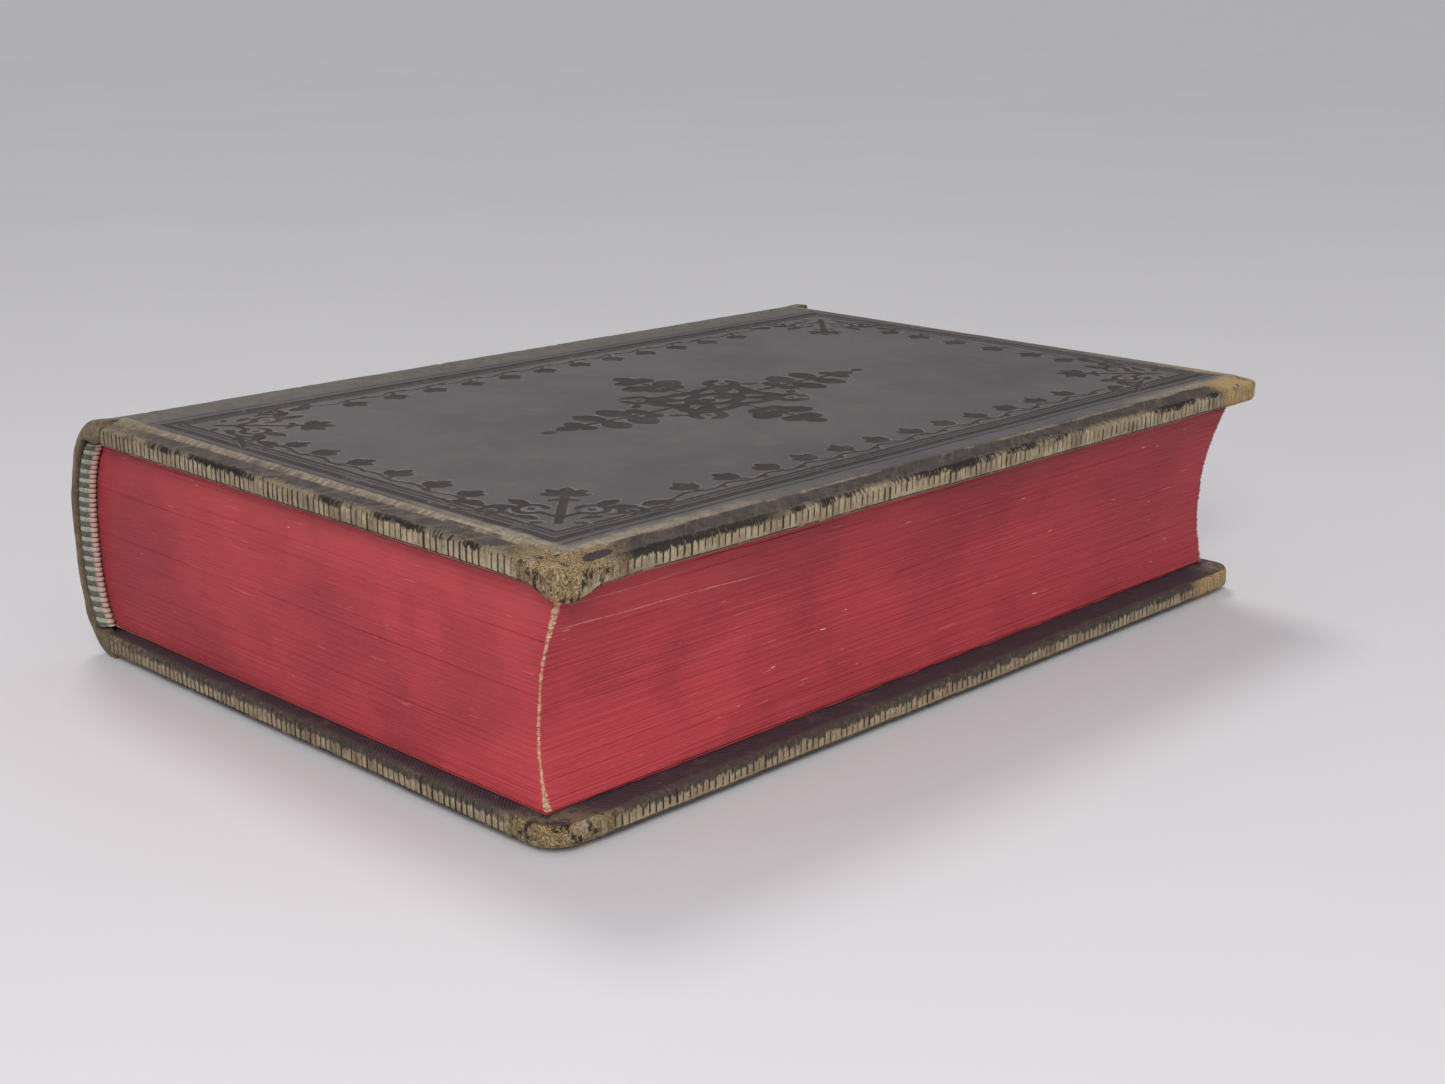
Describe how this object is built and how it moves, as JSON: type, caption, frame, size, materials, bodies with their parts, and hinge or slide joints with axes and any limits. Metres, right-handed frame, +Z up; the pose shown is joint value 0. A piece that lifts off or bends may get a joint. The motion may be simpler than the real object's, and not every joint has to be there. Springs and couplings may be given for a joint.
{
  "type": "prayer book",
  "caption": "Small antique leather-bound prayer book with bevelled boards, red-stained leaf edges and striped headbands; its covers and its leaves open.",
  "frame": {"origin": "centre of the bounding box, at the table under the back cover", "axes": "+X from the spine to the fore-edge, +Y from the tail to the head, +Z up through the front cover"},
  "size_m": [0.1028, 0.14, 0.0336],
  "materials": {
    "cover_leather": "smooth aged calf, dark grey-brown, blind-tooled, worn tan along the edges",
    "spine_leather": "aged calf, olive-brown, rubbed to tan on the joints and caps",
    "board": "matte rope-fibre millboard",
    "endpaper": "matte aged laid paper",
    "leaves": "aged book paper, edges stained red and burnished",
    "linen": "plain unbleached linen",
    "headband": "silk thread, pale grey and dark green stripes over a cord core"
  },
  "bodies": {
    "back_text": {"back_headband_head": "headband", "back_headband_tail": "headband", "back_quire_1": "leaves", "back_quire_2": "leaves", "back_quire_3": "leaves", "back_quire_4": "leaves", "back_sewing_tape_1": "linen", "back_sewing_tape_2": "linen", "back_sewing_tape_3": "linen", "back_spine_leather": "spine_leather", "back_spine_lining": "linen"},
    "back_middle_text": {"back_middle_headband_head": "headband", "back_middle_headband_tail": "headband", "back_middle_quire_1": "leaves", "back_middle_quire_2": "leaves", "back_middle_quire_3": "leaves", "back_middle_quire_4": "leaves", "back_middle_sewing_tape_1": "linen", "back_middle_sewing_tape_2": "linen", "back_middle_sewing_tape_3": "linen", "back_middle_spine_leather": "spine_leather", "back_middle_spine_lining": "linen"},
    "front_middle_text": {"front_middle_headband_head": "headband", "front_middle_headband_tail": "headband", "front_middle_quire_1": "leaves", "front_middle_quire_2": "leaves", "front_middle_quire_3": "leaves", "front_middle_quire_4": "leaves", "front_middle_sewing_tape_1": "linen", "front_middle_sewing_tape_2": "linen", "front_middle_sewing_tape_3": "linen", "front_middle_spine_leather": "spine_leather", "front_middle_spine_lining": "linen"},
    "front_text": {"front_headband_head": "headband", "front_headband_tail": "headband", "front_quire_1": "leaves", "front_quire_2": "leaves", "front_quire_3": "leaves", "front_quire_4": "leaves", "front_sewing_tape_1": "linen", "front_sewing_tape_2": "linen", "front_sewing_tape_3": "linen", "front_spine_leather": "spine_leather", "front_spine_lining": "linen"},
    "back_cover": {"back_board": "board", "back_cover_leather": "cover_leather", "back_joint_leather": "spine_leather", "back_pastedown": "endpaper"},
    "front_cover": {"front_board": "board", "front_cover_leather": "cover_leather", "front_joint_leather": "spine_leather", "front_pastedown": "endpaper"},
    "back_flyleaf": {"back_flyleaf": "endpaper"},
    "front_flyleaf": {"front_flyleaf": "endpaper"}
  },
  "joints": [
    {"name": "back_cover_hinge", "type": "hinge", "parent": "back_text", "child": "back_cover", "pos_m": [-0.04885, 0, 0.0034], "axis": [0, 1, 0], "range_deg": [0, 180]},
    {"name": "back_quarter_opening", "type": "hinge", "parent": "back_text", "child": "back_middle_text", "pos_m": [-0.05105, 0, 0.01035], "axis": [0, 1, 0], "range_deg": [-30, 0]},
    {"name": "middle_opening", "type": "hinge", "parent": "back_middle_text", "child": "front_middle_text", "pos_m": [-0.05145, 0, 0.0168], "axis": [0, 1, 0], "range_deg": [-120, 0]},
    {"name": "front_quarter_opening", "type": "hinge", "parent": "front_middle_text", "child": "front_text", "pos_m": [-0.05094, 0, 0.02325], "axis": [0, 1, 0], "range_deg": [-30, 0]},
    {"name": "front_cover_hinge", "type": "hinge", "parent": "front_text", "child": "front_cover", "pos_m": [-0.04811, 0, 0.0302], "axis": [0, -1, 0], "range_deg": [0, 180]},
    {"name": "back_flyleaf_turn", "type": "hinge", "parent": "back_text", "child": "back_flyleaf", "pos_m": [-0.04508, 0, 0.00375], "axis": [0, 1, 0], "range_deg": [0, 90]},
    {"name": "front_flyleaf_turn", "type": "hinge", "parent": "front_text", "child": "front_flyleaf", "pos_m": [-0.04372, 0, 0.02985], "axis": [0, -1, 0], "range_deg": [0, 90]}
  ],
  "couplings": [
    {"joint": "back_flyleaf_turn", "follows": "back_cover_hinge", "ratio": 0.5},
    {"joint": "front_flyleaf_turn", "follows": "front_cover_hinge", "ratio": 0.5}
  ]
}
